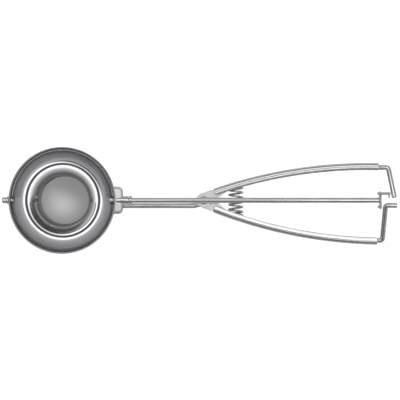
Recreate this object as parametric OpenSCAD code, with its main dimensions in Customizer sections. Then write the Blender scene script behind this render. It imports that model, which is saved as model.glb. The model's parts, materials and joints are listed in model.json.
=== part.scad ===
// Squeeze-handled ice cream scoop with a sweeping scraper blade.
// Origin at the centre of the bowl, on the axis of the long drive shaft.
// +X runs along the shaft towards the grips, +Z is up out of the mouth of the bowl.

/* [Bowl] */
// Inside radius of the bowl
bowl_r = 30; // [26:0.5:34]
// Wall of the bowl
bowl_wall = 1; // [0.8:0.1:1.4]
// Height of the rim above the shaft axis
rim_h = 3; // [2.6:0.1:5]

/* [Blade] */
// Thickness of the scraper blade
blade_t = 0.6; // [0.4:0.1:1]
// Gap between the blade and the inside of the bowl
blade_gap = 0.35; // [0.3:0.05:0.6]
// Depth of the blade's upper edge below the shaft axis
blade_top = 1.2; // [0.5:0.1:3]
// Depth of the blade's lower edge below the shaft axis
blade_low = 14.6; // [10:0.2:18]
// Distance of the blade's ends from the shaft axis
blade_end = 1.7; // [1:0.1:2.5]
// Radius of the eyes at both ends of the blade
blade_eye_r = 2.4; // [2.2:0.1:2.6]

/* [Front pivot] */
// Diameter of the front pivot pin
pin_d = 2.4; // [2:0.1:2.8]
// Diameter of the pin's domed head
pin_head_d = 3.6; // [3.2:0.1:5]
// Length of the head and its neck in front of the washer
pin_head_l = 2.7; // [2:0.1:3.5]
// Thickness of the washer between the head and the bowl
pin_washer_t = 1.2; // [0.5:0.1:1.6]

/* [Drive shaft] */
// Diameter of the drive shaft
shaft_d = 3.1; // [2.8:0.1:3.6]
// Distance from the bowl's centre to the crank at the end of the shaft
shaft_l = 184.1; // [180:0.5:185]
// Radial clearance of everything that turns
run_gap = 0.05; // [0.03:0.01:0.08]

/* [Neck] */
// Length of the saddle behind the bowl
saddle_l = 4.1; // [3:0.1:6]
// Width of the saddle
saddle_w = 16.2; // [14:0.2:20]
// Depth of the saddle below the shaft axis
saddle_low = 9.4; // [9:0.2:12]
// Radius of the saddle's corners
saddle_corner = 2.2; // [1:0.1:2.6]
// Outside diameter of the bush
bush_d = 5.1; // [4.8:0.1:5.6]
// Length of the bush
bush_l = 7.3; // [6:0.1:9]
// Diameter of the stay rod
stay_d = 3; // [2.4:0.1:3.2]
// Sideways place of the stay rod
stay_y = -3.2; // [-4:0.1:-3]
// Depth of the stay rod below the shaft axis
stay_low = 6; // [5.6:0.1:6.6]

/* [Grip pivot] */
// Distance from the bowl's centre to the grips' rivet
pivot_x = 82.2; // [76:0.5:90]
// Diameter of the rivet
rivet_d = 3; // [2.6:0.1:3.4]
// Radius of the rivet's heads
rivet_head_r = 2.3; // [2.1:0.1:3]
// Thickness of the rivet's upper head
rivet_head_t = 0.5; // [0.4:0.1:0.7]
// Radius of the ears round the rivet
ear_r = 4.4; // [4:0.1:5]
// Play between ears that slide on each other
ear_gap = 0.1; // [0.05:0.05:0.2]

/* [Grips] */
// Radius of the grips' long curve, along the middle of the channel
grip_arc_r = 272.6; // [240:1:320]
// Distance from the rivet to the widest point of the curve
grip_apex_x = 100.3; // [96:0.5:102]
// Half distance between the two channels at that point
grip_apex_y = 21.7; // [20:0.1:26]
// Distance from the rivet to the front end of the channel
grip_front_x = 6.2; // [6:0.1:8]
// Distance from the rivet to the rear end of the channel
grip_rear_x = 101.2; // [99:0.1:102]
// Height of the channel
grip_h = 11.1; // [11:0.1:13]
// Depth of the channel
grip_depth = 4.2; // [4:0.1:5]
// Radius of the channel's outer edges
grip_edge_r = 1.9; // [1.2:0.1:2]
// Thickness of the grips' sheet metal
sheet = 0.9; // [0.8:0.05:1]
// Height of the channel's middle below the shaft axis
grip_low = 6.5; // [6.4:0.1:7]
// Angle by which the pair of grips hangs to one side
lean = -1.19; // [-1.5:0.1:1.5]

/* [Linkage] */
// Distance of the crank's pin places from the shaft axis
crank_r = 3.3; // [3.1:0.1:3.5]
// Angle of the crank at rest, from the plane of the shaft and grips
crank_rest = 26; // [20:1:28]
// Length of the crank's front plate
crank_l = 10.4; // [9.6:0.1:11]
// Width of the crank's front plate
crank_w = 4.6; // [4:0.1:5]
// Thickness of the crank's front plate
crank_t = 1.2; // [1:0.1:1.4]
// Diameter of the link rods
rod_d = 3.1; // [2.8:0.1:3.2]
// Place of the lower link rod behind the crank's front face
low_rod_x = 3.5; // [3.4:0.1:3.8]
// Place of the upper link rod behind the crank's front face
up_rod_x = 8.6; // [8.4:0.1:8.8]
// Length of the lower link's bent end
low_pin_l = 6.8; // [4:0.1:7]
// Diameter of the link journals in the grips
journal_d = 2; // [1.8:0.1:2.2]
// Height of the journals below the shaft axis
journal_low = 5.2; // [4.5:0.1:7]

/* [Spring] */
// Outside diameter of the return spring
spring_d = 9; // [8:0.1:9]
// Diameter of the spring's wire
wire_d = 1.2; // [0.9:0.1:1.3]
// Distance from the rivet to the spring
spring_x = 18.7; // [16:0.1:24]
// Turns of the spring
spring_turns = 6.5; // [5:0.5:8]
// Thickness of the spring seats at their middle
seat_t = 1.5; // [1.4:0.1:2.5]

/* [Hidden] */
$fn = 96;

// Colours
STEEL = "silver";
DARK = "slategray";
BRIGHT = "gainsboro";

// Bowl and blade
bowl_out = bowl_r + bowl_wall;
saddle_x = bowl_out + saddle_l;
blade_out = bowl_r - blade_gap;
blade_in = blade_out - blade_t;
shaft_r = shaft_d / 2;
hub_t = 1.4;
hub_x = sqrt(pow(blade_in, 2) - pow(blade_eye_r, 2)) - hub_t;
collar_t = 1.6;
collar_r = shaft_r + 1.1;

// Heights of the stack on the rivet, all below the shaft axis
stack_top = grip_low - (grip_low - shaft_r - run_gap * 6 - rivet_head_t);
ear_up_z = -stack_top - sheet;
ear_low_z = ear_up_z - ear_gap - sheet;
eye_t = 1;
eye_z = ear_low_z - ear_gap - eye_t;
stack_mid = -grip_low;
ear_up_z2 = 2 * stack_mid - ear_up_z - sheet;
ear_low_z2 = 2 * stack_mid - ear_low_z - sheet;
washer_t = 0.8;

// Grips: the middle of the long curve, from the rivet, before the lean
arc_x = grip_apex_x;
arc_y = grip_apex_y - grip_arc_r;
front_a = 90 + asin((grip_apex_x - grip_front_x) / grip_arc_r);
rear_a = 90 - asin((grip_rear_x - grip_apex_x) / grip_arc_r);
web_r = grip_arc_r + grip_depth / 2;
lip_r = grip_arc_r - grip_depth / 2;
web_in = web_r - sheet;

// A point of a grip in the part's own frame; side is 1 for the upper grip and -1 for the lower
function turned(p, a) = [p[0] * cos(a) - p[1] * sin(a), p[0] * sin(a) + p[1] * cos(a)];
function on_grip(p, side) = [pivot_x, 0] + turned([p[0], side * p[1]], lean);

// Linkage: places where the links' inner ends lie at rest
rod_r = rod_d / 2;
journal_r = journal_d / 2;
pin_y = crank_r * cos(crank_rest);
pin_z = crank_r * sin(crank_rest);
low_rod = shaft_l + low_rod_x;
up_rod = shaft_l + up_rod_x;
plug_l = 5;
journal_in = 0.45;
journal_l = plug_l + 1.6;
end_mid = [grip_rear_x, grip_apex_y - journal_in];
up_end = on_grip(end_mid, 1);
low_end = on_grip(end_mid, -1);
up_corner = [shaft_l + 5.6, up_end[1], -journal_low];
low_corner = [shaft_l + 2.2, low_end[1], -journal_low];
// The rods swell a little at their elbows, where they were bent
elbow_swell = 0.06;
lug_t = 0.8;
tip_round = 0.7;
lug_x = low_rod + rod_r + elbow_swell + 0.3;
flange_a = 20;
flange_w = 2;

// Spring: seats on the two webs, and the coil between them
coil_r = (spring_d - wire_d) / 2;
wire_r = wire_d / 2;
web_y = arc_y + sqrt(pow(web_in, 2) - pow(spring_x - arc_x, 2));
seat_hi = on_grip([spring_x, web_y], 1)[1] - seat_t;
seat_lo = on_grip([spring_x, web_y], -1)[1] + seat_t;
spring_at = on_grip([spring_x, 0], 1)[0];
coil_clear = 0.02;
coil_y0 = seat_lo + wire_r + coil_clear;
coil_y1 = seat_hi - wire_r - coil_clear;
rings = 8;
sides = 6;

// ---- shared shapes ----

// Round bar between two points
module bar(p, q, r) {
    d = q - p;
    translate(p)
        rotate([0, acos(d[2] / norm(d)), atan2(d[1], d[0])])
            cylinder(h = norm(d), r = r);
}

// Cylinder along +X from x0, on the line at y, z
module along_x(x0, len, r, y = 0, z = 0) {
    translate([x0, y, z])
        rotate([0, 90, 0])
            cylinder(h = len, r = r);
}

// Rectangle with two or four round corners, its left edge at x0
module soft_rect(x0, x1, h, r, both = false) {
    start = both ? x0 + r : x0;
    translate([x0, r - h / 2])
        square([x1 - x0 - r, h - 2 * r]);
    translate([start, -h / 2])
        square([x1 - r - start, h]);
    translate([x0, r - h / 2])
        square([x1 - x0, h - 2 * r]);
    for (s = [-1, 1])
        translate([x1 - r, s * (h / 2 - r)])
            circle(r);
    if (both)
        for (s = [-1, 1])
            translate([x0 + r, s * (h / 2 - r)])
                circle(r);
}

// What belongs to a grip: drawn from the rivet, mirrored for the lower grip, then leaned
module at_grip(side) {
    translate([pivot_x, 0, 0])
        rotate([0, 0, lean])
            mirror([0, side > 0 ? 0 : 1, 0])
                children();
}

// ---- bowl and blade ----

module bowl_form(r) {
    difference() {
        sphere(r);
        translate([0, 0, r + 1])
            cube(2 * r + 2, center = true);
    }
    cylinder(h = rim_h, r = r);
}

module bowl() {
    color(STEEL)
    difference() {
        bowl_form(bowl_out);
        bowl_form(bowl_r);
        translate([0, 0, rim_h - 0.01])
            cylinder(h = 2, r = bowl_r);
        along_x(-bowl_out - 1, 3, pin_d / 2);
        along_x(bowl_r - 1, 3, shaft_r + 4 * run_gap);
    }
}

module blade_skin() {
    difference() {
        sphere(blade_out);
        sphere(blade_in);
    }
}

module blade() {
    color(BRIGHT)
    difference() {
        intersection() {
            blade_skin();
            union() {
                translate([-blade_out, blade_end, -blade_low])
                    cube([2 * blade_out, blade_out, blade_low - blade_top]);
                for (s = [-1, 1])
                    translate([s > 0 ? blade_out - blade_low : -blade_out - 1, 0, 0]) {
                        rotate([0, 90, 0])
                            cylinder(h = blade_low + 1, r = blade_eye_r);
                        translate([0, -blade_eye_r, -blade_low / 2])
                            cube([blade_low + 1, blade_end + 2 * blade_eye_r, blade_low / 2 - blade_top]);
                    }
            }
        }
        along_x(-blade_out - 1, blade_low, pin_d / 2 + run_gap);
        along_x(blade_out + 1 - blade_low, blade_low, shaft_r);
    }
}

module blade_hub() {
    color(STEEL)
    difference() {
        along_x(hub_x, hub_t, blade_eye_r);
        along_x(hub_x - 1, hub_t + 2, shaft_r);
    }
}

module front_pin() {
    head_x = -bowl_out - pin_washer_t - pin_head_l;
    dome = 0.9;
    color(STEEL) {
        along_x(head_x + dome, pin_head_l - dome, pin_head_d / 2);
        intersection() {
            along_x(head_x, dome, pin_head_d / 2);
            translate([head_x + pin_head_d / 2, 0, 0])
                sphere(pin_head_d / 2);
        }
        along_x(head_x + dome, blade_out - head_x - dome - 2 * blade_out + blade_t + 1, pin_d / 2);
    }
}

module front_washer() {
    color(DARK)
    difference() {
        along_x(-bowl_out - pin_washer_t, pin_washer_t, pin_head_d / 2 + 0.5);
        along_x(-bowl_out - pin_washer_t - 1, pin_washer_t + 2, pin_d / 2);
    }
}

// ---- neck ----

module saddle() {
    high = rim_h - 0.8;
    tall = high + saddle_low;
    color(BRIGHT)
    difference() {
        translate([bowl_r - 3, 0, high - tall / 2])
            rotate([0, 90, 0])
                linear_extrude(saddle_x - bowl_r + 3)
                    soft_rect(-tall / 2, tall / 2, saddle_w, saddle_corner, true);
        bowl_form(bowl_out);
        along_x(bowl_r - 4, saddle_x - bowl_r + 5, bush_d / 2);
        along_x(bowl_r - 4, saddle_x - bowl_r + 5, stay_d / 2, stay_y, -stay_low);
    }
}

module bush() {
    color(DARK)
    difference() {
        along_x(bowl_out + 0.3, bush_l, bush_d / 2);
        along_x(bowl_out - 1, bush_l + 3, shaft_r + run_gap);
    }
}

module stay_rod() {
    front = bowl_out + 0.9;
    flat_x = pivot_x - ear_r - 0.8;
    color(STEEL)
    difference() {
        union() {
            along_x(front, flat_x - front, stay_d / 2, stay_y, -stay_low);
            translate([flat_x, stay_y, -stay_low])
                sphere(stay_d / 2);
            translate([0, 0, eye_z])
                linear_extrude(eye_t) {
                    translate([pivot_x, 0])
                        circle(ear_r - 0.6);
                    polygon([[flat_x, stay_y - 1.3], [pivot_x, 0.6 - ear_r],
                        [pivot_x, 1], [flat_x, stay_y + 1.3]]);
                }
        }
        translate([pivot_x, 0, eye_z - 1])
            cylinder(h = eye_t + 2, r = rivet_d / 2);
    }
}

// ---- rivet ----

module rivet() {
    color(STEEL)
    translate([pivot_x, 0, 0]) {
        translate([0, 0, ear_up_z2 - washer_t - 1])
            cylinder(h = -stack_top - ear_up_z2 + washer_t + 1, r = rivet_d / 2);
        translate([0, 0, -stack_top])
            cylinder(h = rivet_head_t, r1 = rivet_head_r, r2 = rivet_head_r - rivet_head_t);
        translate([0, 0, ear_up_z2 - washer_t - 1])
            cylinder(h = 1, r1 = rivet_head_r - 0.5, r2 = rivet_head_r);
    }
}

module ring(z, h, r_out, r_in) {
    translate([pivot_x, 0, z])
        difference() {
            cylinder(h = h, r = r_out);
            translate([0, 0, -1])
                cylinder(h = h + 2, r = r_in);
        }
}

module rivet_sleeve() {
    low = ear_low_z2 + sheet + ear_gap;
    color(DARK)
        ring(low, eye_z - low, rivet_d / 2 + 1.1, rivet_d / 2);
}

module rivet_washer() {
    color(DARK)
        ring(ear_up_z2 - washer_t, washer_t - ear_gap, ear_r - 0.9, rivet_d / 2);
}

// ---- grips ----

module channel() {
    translate([arc_x, arc_y, stack_mid])
        rotate([0, 0, rear_a])
            rotate_extrude(angle = front_a - rear_a, $fn = 360)
                difference() {
                    soft_rect(lip_r, web_r, grip_h, grip_edge_r);
                    soft_rect(lip_r - 1, web_in, grip_h - 2 * sheet, grip_edge_r - sheet);
                }
}

// The hollow of the channel, carried on inwards past its lips
module channel_room(deeper) {
    translate([arc_x, arc_y, stack_mid])
        rotate([0, 0, rear_a])
            rotate_extrude(angle = front_a - rear_a, $fn = 360)
                soft_rect(lip_r - deeper, web_in, grip_h - 2 * sheet, grip_edge_r - sheet);
}

// Flat ear from the rivet into the front end of the channel, where the web holds it
module ear(z, reach, nose) {
    back = grip_front_x + reach;
    drop = sqrt(pow(web_in + 0.2, 2) - pow(back - arc_x, 2)) + arc_y;
    rise = sqrt(pow(web_in + 0.2, 2) - pow(grip_front_x - arc_x, 2)) + arc_y;
    translate([0, 0, z])
        linear_extrude(sheet) {
            circle(ear_r);
            polygon([[-ear_r * 0.35, ear_r * 0.93], [-nose, ear_r * 0.5], [-nose, -ear_r * 0.1],
                [0, -ear_r * 0.9], [ear_r * 0.8, -ear_r * 0.6], [back, drop - grip_depth + sheet],
                [back, drop], [grip_front_x, rise], [grip_front_x - 1, rise]]);
        }
}

module grip(side, z1, z2, nose) {
    color(STEEL)
    at_grip(side)
        difference() {
            union() {
                channel();
                ear(z1, 7.5, nose);
                ear(z2, 7.5, nose);
            }
            translate([0, 0, 2 * stack_mid])
                cylinder(h = 2 * grip_low, r = rivet_d / 2 + run_gap);
        }
}

module grip_upper() {
    grip(1, ear_up_z, ear_up_z2, ear_r * 0.4);
}

module grip_lower() {
    grip(-1, ear_low_z, ear_low_z2, ear_r + 3.4);
}

// Plug that closes the rear end of a channel and carries the link's journal
module plug(side) {
    color(DARK)
    difference() {
        at_grip(side)
            intersection() {
                channel_room(0);
                translate([grip_rear_x - plug_l, grip_apex_y - grip_depth, stack_mid - grip_h / 2])
                    cube([plug_l + 1, 2 * grip_depth, grip_h]);
            }
        journal_bore(side);
    }
}

module journal_bore(side) {
    at = side > 0 ? up_end : low_end;
    along_x(at[0] - 2 * plug_l, 3 * plug_l, journal_r + run_gap, at[1], -journal_low);
}

module plug_upper() {
    plug(1);
}

module plug_lower() {
    plug(-1);
}

// ---- links ----

// Bent rod: journal in the grip's plug, elbow, long leg, elbow
module link_rod(end, corner, inner) {
    start = end[0] - journal_l;
    collar = end[0] + 0.3;
    along_x(start, corner[0] - start, journal_r, corner[1], corner[2]);
    along_x(collar, corner[0] - collar, rod_r, corner[1], corner[2]);
    translate(corner)
        rotate([0, 90, 0])
            sphere(rod_r + elbow_swell);
    bar(corner, inner, rod_r);
    translate(inner)
        sphere(rod_r + elbow_swell);
}

module link_upper() {
    color(STEEL)
        link_rod(up_end, up_corner, [up_rod, pin_y, -pin_z]);
}

module link_lower() {
    inner = [low_rod, -pin_y, pin_z];
    color(STEEL) {
        link_rod(low_end, low_corner, inner);
        translate(inner)
            rotate([0, 90, 0])
                rotate_extrude()
                    intersection() {
                        soft_rect(-rod_r, rod_r, 2 * low_pin_l, tip_round, true);
                        square([rod_r, low_pin_l]);
                    }
    }
}

module retainer(end) {
    color(DARK)
    difference() {
        along_x(end[0] - plug_l - 1.1, 0.8, journal_r + 0.3, end[1], -journal_low);
        along_x(end[0] - plug_l - 3, 5, journal_r, end[1], -journal_low);
    }
}

module retainer_upper() {
    retainer(up_end);
}

module retainer_lower() {
    retainer(low_end);
}

// ---- shaft and crank ----

module shaft() {
    color(STEEL)
        along_x(hub_x, shaft_l - hub_x + crank_t / 2, shaft_r);
}

module shaft_collar() {
    at = bowl_out + 0.3 + bush_l + 0.3;
    color(DARK)
    difference() {
        along_x(at, collar_t, collar_r);
        along_x(at - 1, collar_t + 2, shaft_r);
    }
}

// Sheet in the plane across the shaft, from x0, its shape drawn in Y and Z
module across(x0, t) {
    translate([x0, 0, 0])
        rotate([90, 0, 90])
            linear_extrude(t)
                children();
}

// Front plate on the shaft, a side flange and a rear lug that reaches the upper link
module crank() {
    flange_r = crank_l / 2 - 1;
    flange_at = flange_r * [cos(flange_a), sin(flange_a)];
    pin_at = [pin_y, -pin_z];
    color(BRIGHT)
    difference() {
        union() {
            across(shaft_l, crank_t)
                rotate(-crank_rest)
                    intersection() {
                        circle(crank_l / 2);
                        square([crank_l, crank_w], center = true);
                    }
            across(shaft_l - 1.2, lug_x + lug_t - shaft_l + 1.2)
                rotate(flange_a)
                    translate([flange_r, 0])
                        square([1, flange_w], center = true);
            across(shaft_l - 1.2, 1.2 + crank_t)
                rotate(-crank_rest)
                    translate([-flange_r, 0])
                        square([1, flange_w], center = true);
            across(shaft_l, crank_t)
                rotate(flange_a)
                    translate([0, -flange_w / 2])
                        square([flange_r + 0.5, flange_w]);
            across(lug_x, lug_t) {
                translate(pin_at)
                    circle(1.7);
                polygon([flange_at + [0.3, 1], flange_at + [0.3, -1], pin_at + [1.6, -0.6],
                    pin_at + [-0.9, 1.4], flange_at + [-0.7, 0.8]]);
            }
        }
        along_x(shaft_l - 1, crank_t / 2 + 1, shaft_r);
        along_x(lug_x - 1, lug_t + 2, 0.8, pin_y, -pin_z);
        along_x(shaft_l - 2, crank_t + 4, 0.8, -pin_y, pin_z);
    }
}

// ---- spring ----

// Seat on a web: a pad whose back follows the web, and a stub inside the coil
module seat(side) {
    low = side > 0 ? seat_hi : seat_lo;
    color(DARK)
    intersection() {
        translate([spring_at, low, stack_mid])
            rotate([side > 0 ? -90 : 90, 0, 0]) {
                cylinder(h = 6, r = spring_d / 2);
                translate([0, 0, -1.8])
                    cylinder(h = 2, r = coil_r - wire_r - 0.3);
            }
        at_grip(side)
            channel_room(spring_d);
    }
}

module seat_upper() {
    seat(1);
}

module seat_lower() {
    seat(-1);
}

// Height along the coil: the first and last turns lie close, the others open up
function coil_y(t) =
    let (u = t / spring_turns, shut = 0.75 / spring_turns)
    let (lift = (wire_d + 0.5) * 0.75)
    u < shut ? coil_y0 + lift * u / shut :
    u > 1 - shut ? coil_y1 - lift * (1 - u) / shut :
    coil_y0 + lift + (coil_y1 - coil_y0 - 2 * lift) * (u - shut) / (1 - 2 * shut);

function coil_point(t) =
    [spring_at + coil_r * cos(360 * t), coil_y(t), stack_mid + coil_r * sin(360 * t)];

ring_n = spring_turns * rings;
coil_path = [for (i = [0:ring_n]) coil_point(i / rings)];
coil_points = [for (i = [0:ring_n], k = [0:sides - 1])
    let (t = i / rings)
    let (outward = [cos(360 * t), 0, sin(360 * t)])
    let (a = 360 * k / sides)
    coil_path[i] + wire_r * (cos(a) * outward + sin(a) * [0, 1, 0])];
coil_faces = concat(
    [for (i = [0:ring_n - 1], k = [0:sides - 1])
        let (k2 = (k + 1) % sides)
        [i * sides + k, i * sides + k2, (i + 1) * sides + k]],
    [for (i = [0:ring_n - 1], k = [0:sides - 1])
        let (k2 = (k + 1) % sides)
        [i * sides + k2, (i + 1) * sides + k2, (i + 1) * sides + k]],
    [for (k = [1:sides - 2]) [0, k + 1, k]],
    [for (k = [1:sides - 2]) [for (v = [0, k, k + 1]) ring_n * sides + v]]
);

// Least gap between the coil and itself, measured between rings at least half a turn apart
coil_self_gap = min([for (i = [0:ring_n], j = [i + rings / 2:ring_n])
    norm(coil_path[i] - coil_path[j])]) - wire_d;
echo(coil_self_gap = coil_self_gap);

module spring() {
    color(STEEL)
        polyhedron(coil_points, coil_faces);
}

bowl();
saddle();
bush();
front_pin();
front_washer();
blade();
blade_hub();
shaft();
shaft_collar();
crank();
stay_rod();
rivet();
rivet_sleeve();
rivet_washer();
grip_upper();
grip_lower();
plug_upper();
plug_lower();
link_upper();
link_lower();
retainer_upper();
retainer_lower();
seat_upper();
seat_lower();
spring();
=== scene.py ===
"""A squeeze-handled ice cream scoop in polished stainless steel, dressed round its measured frame."""

import json
import math

import bmesh
import bpy
from bpy.props import FloatProperty, FloatVectorProperty, IntProperty, PointerProperty
from mathutils import Matrix, Vector


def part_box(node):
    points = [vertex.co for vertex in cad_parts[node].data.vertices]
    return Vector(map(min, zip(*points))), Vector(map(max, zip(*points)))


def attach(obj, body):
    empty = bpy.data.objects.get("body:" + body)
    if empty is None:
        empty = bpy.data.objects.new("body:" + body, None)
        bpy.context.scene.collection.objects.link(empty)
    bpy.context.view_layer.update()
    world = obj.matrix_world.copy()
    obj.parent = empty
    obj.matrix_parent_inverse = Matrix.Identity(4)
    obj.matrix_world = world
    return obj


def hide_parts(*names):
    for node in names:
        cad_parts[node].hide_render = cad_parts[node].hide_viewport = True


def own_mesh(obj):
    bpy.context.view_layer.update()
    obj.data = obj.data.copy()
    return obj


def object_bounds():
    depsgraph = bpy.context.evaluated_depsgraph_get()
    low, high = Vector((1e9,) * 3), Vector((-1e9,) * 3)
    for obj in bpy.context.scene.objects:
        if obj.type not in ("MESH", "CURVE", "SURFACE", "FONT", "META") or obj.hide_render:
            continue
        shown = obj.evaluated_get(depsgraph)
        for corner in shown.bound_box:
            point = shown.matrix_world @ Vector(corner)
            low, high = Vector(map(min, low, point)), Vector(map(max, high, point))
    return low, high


bl_info = {
    "name": "Ice cream scoop",
    "version": (1, 0, 0),
    "blender": (4, 5, 0),
    "location": "3D View > Sidebar > Scoop",
    "description": "Builds a squeeze-handled ice cream scoop with its sprung grips and sweeping blade",
    "category": "Add Mesh",
}

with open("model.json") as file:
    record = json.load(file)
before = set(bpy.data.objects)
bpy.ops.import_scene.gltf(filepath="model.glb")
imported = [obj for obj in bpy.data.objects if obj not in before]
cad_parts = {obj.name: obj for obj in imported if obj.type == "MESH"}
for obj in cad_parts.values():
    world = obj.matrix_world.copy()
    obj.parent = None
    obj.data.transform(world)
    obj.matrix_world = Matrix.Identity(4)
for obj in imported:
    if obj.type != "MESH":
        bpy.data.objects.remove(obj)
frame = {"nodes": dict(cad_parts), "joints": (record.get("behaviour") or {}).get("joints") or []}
CAD_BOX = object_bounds()

MM = 0.001
# Radius of the tiny ring that closes a turned piece at its axis
ON_AXIS = 1e-6
# Vertices nearer to each other than this are one
SAME_PLACE = 1e-7
PIVOTS = {joint["name"]: Vector(joint["pos_m"]) for joint in frame["joints"]}
RIVET_AT = PIVOTS["upper_grip_squeeze"]


# ---- sizes a user would change ----

def length(title, words, default, limits=(0.0, 0.3)):
    """A length in metres for a property group."""
    return FloatProperty(
        name=title, description=words, default=default,
        min=limits[0], max=limits[1], unit="LENGTH", precision=5)


class BowlSizes(bpy.types.PropertyGroup):
    wall: length("Wall", "Thickness of the bowl's wall", 1.0 * MM)
    rim_round: length("Rim rounding", "Radius that the rim's edges are rolled to", 0.48 * MM)
    satin_radius: length("Satin centre", "Radius of the satin centre that the polishing leaves", 14.2 * MM)
    # Besides being brushed, this band has its colour darkened as painted shade.
    band: length("Brushed band", "Depth below the shaft to which the bowl's inside is brushed", 6.0 * MM)
    segments: IntProperty(name="Segments", description="Steps round the bowl", default=160, min=24)


class BladeSizes(bpy.types.PropertyGroup):
    thickness: length("Thickness", "Thickness of the scraper blade", 0.6 * MM)
    gap: length("Gap", "Gap between the blade and the bowl", 0.35 * MM)
    top: length("Upper edge", "Depth of the upper edge below the shaft", 1.2 * MM)
    low: length("Lower edge", "Depth of the lower edge below the shaft", 14.6 * MM)
    end: length("Ends", "Distance of the band's ends from the shaft's axis", 1.7 * MM)
    eye: length("Eye", "Radius of the eye at each end", 2.4 * MM)


class GripSizes(bpy.types.PropertyGroup):
    arc_radius: length("Bow", "Radius of the grip's long curve", 272.6 * MM, (0.2, 0.4))
    apex_x: length("Widest place", "Distance from the rivet to the widest place", 100.3 * MM)
    apex_y: length("Half width", "Half distance between the grips there", 21.7 * MM)
    front_x: length("Front end", "Distance from the rivet to the channel's front end", 6.2 * MM)
    rear_x: length("Rear end", "Distance from the rivet to the channel's rear end", 101.2 * MM)
    height: length("Height", "Height of the channel", 11.1 * MM)
    depth: length("Depth", "Depth of the channel", 4.2 * MM)
    edge: length("Edge radius", "Radius of the channel's outer edges", 1.9 * MM)
    sheet: length("Sheet", "Thickness of the sheet metal", 0.9 * MM)
    low: length("Middle", "Depth of the channel's middle below the shaft", 6.5 * MM)
    crown: length("Crown", "Fall of the flanges from the bend to the lip", 0.37 * MM)
    ear: length("Ear", "Radius of the ear's round end at the rivet", 4.4 * MM)
    ear_reach: length("Ear reach", "Length of the ear inside the channel", 7.5 * MM)
    nose: length("Nose", "About how far the lower grip's ears reach past the rivet", 7.8 * MM)
    clear: length("Clearance", "Gap between the shaft and the uppermost ear", 0.8 * MM)
    play: length("Play", "Gap between two ears that lie on each other", 0.1 * MM)
    lean: FloatProperty(
        name="Lean", description="Angle by which the pair hangs to one side",
        default=math.radians(-1.19), unit="ROTATION")


class NeckSizes(bpy.types.PropertyGroup):
    saddle_corner: length("Saddle corner", "Radius of the saddle's long corners", 2.2 * MM)
    saddle_end: length("Saddle end", "Radius of the saddle's rear corners, seen from above", 2.8 * MM)
    saddle_edge: length("Saddle edge", "Height that the rear end loses above and below", 0.7 * MM)
    pin: length("Pin", "Radius of the front pin's shank", 1.2 * MM)
    pin_head: length("Pin head", "Length of the front pin's head", 2.7 * MM)
    pin_dome: length("Pin dome", "Radius of the head's domed edge", 0.6 * MM)
    stay: length("Stay rod", "Radius of the stay rod", 1.5 * MM)
    stay_side: length("Stay rod aside", "Distance of the stay rod to the side of the shaft", 3.2 * MM)
    stay_low: length("Stay rod depth", "Depth of the stay rod below the shaft", 6.0 * MM)
    eye: length("Stay eye", "Radius of the stay rod's flat eye", 3.8 * MM)
    eye_low: length("Stay eye depth", "Depth of the eye's lower face below the shaft", 5.35 * MM)
    eye_sheet: length("Stay eye sheet", "Thickness of the flat eye", 1.0 * MM)


class RivetSizes(bpy.types.PropertyGroup):
    shank: length("Shank", "Radius of the rivet's shank", 1.5 * MM)
    crown: length("Crown", "Height of the domed part of the upper head", 0.5 * MM)
    foot: length("Lower head", "Height of the lower head", 1.0 * MM)
    bore: length("Bore", "Radius of the bore through the sleeve and the washer", 1.52 * MM)


class RodSizes(bpy.types.PropertyGroup):
    link: length("Link rod", "Radius of the link rods", 1.55 * MM)
    journal: length("Journal", "Radius of the thin end that turns in the grip", 1.0 * MM)
    bend: length("Bend radius", "Radius of the bends in the link rods", 1.7 * MM)
    end_round: length("End rounding", "Rounding of the cut ends", 0.45 * MM)
    crank_radius: length("Crank radius", "Distance of the links' inner ends from the axis", 3.3 * MM)
    crank_angle: FloatProperty(
        name="Crank angle", description="Angle of the crank at rest",
        default=math.radians(26), unit="ROTATION")
    low_plane: length("Lower link", "Place of the lower rod along the shaft", 187.6 * MM)
    up_plane: length("Upper link", "Place of the upper rod along the shaft", 192.7 * MM)
    up_corner: length("Upper corner", "Place of the upper rod's outer corner", 189.7 * MM)
    low_corner: length("Lower corner", "Place of the lower rod's outer corner", 186.3 * MM)


class SpringSizes(bpy.types.PropertyGroup):
    wire: length("Wire", "Diameter of the spring's wire", 1.2 * MM)
    turns: FloatProperty(name="Turns", description="Turns of the coil", default=6.5, min=3.0)
    keep: FloatProperty(
        name="Squeezed length", description="Share of its length that the spring keeps",
        default=0.86, min=0.3, max=1.0, subtype="FACTOR")


def tint(title, words, default):
    """A colour for a property group."""
    return FloatVectorProperty(
        name=title, description=words, default=default,
        subtype="COLOR", size=3, min=0.0, max=1.0)


class SteelLook(bpy.types.PropertyGroup):
    polished: tint("Polished steel", "Colour of the polished steel", (0.87, 0.87, 0.88))
    satin: tint("Satin steel", "Colour of the satin steel", (0.66, 0.66, 0.67))
    brushed: tint("Tumbled steel", "Colour of the tumbled plates", (0.96, 0.96, 0.97))
    dull: tint("Dull steel", "Colour of the rivet and small turned pieces", (0.50, 0.50, 0.52))
    wire: tint("Spring wire", "Colour of the spring wire", (0.84, 0.84, 0.86))
    rub: FloatProperty(
        name="Handling marks", description="How much the marks of handling dull the polish",
        default=0.05, min=0.0, max=0.5, subtype="FACTOR")


class StageSettings(bpy.types.PropertyGroup):
    camera_height: length("Camera height", "Height of the camera above the shaft", 1.25, (0.3, 3.0))
    pixel: length("Pixel", "Width that one pixel of the picture covers at the shaft", 0.5805 * MM)
    picture: IntProperty(name="Picture", description="Side of the square picture in pixels", default=400)
    bowl_px_x: FloatProperty(
        name="Bowl across", description="Bowl's centre in the picture, in pixels from the left",
        default=62.2)
    bowl_px_y: FloatProperty(
        name="Bowl down", description="Bowl's centre in the picture, in pixels from the top",
        default=200.3)
    floor: tint("Floor", "Colour of the floor", (0.93, 0.93, 0.93))


# ---- mesh helpers ----

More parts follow.
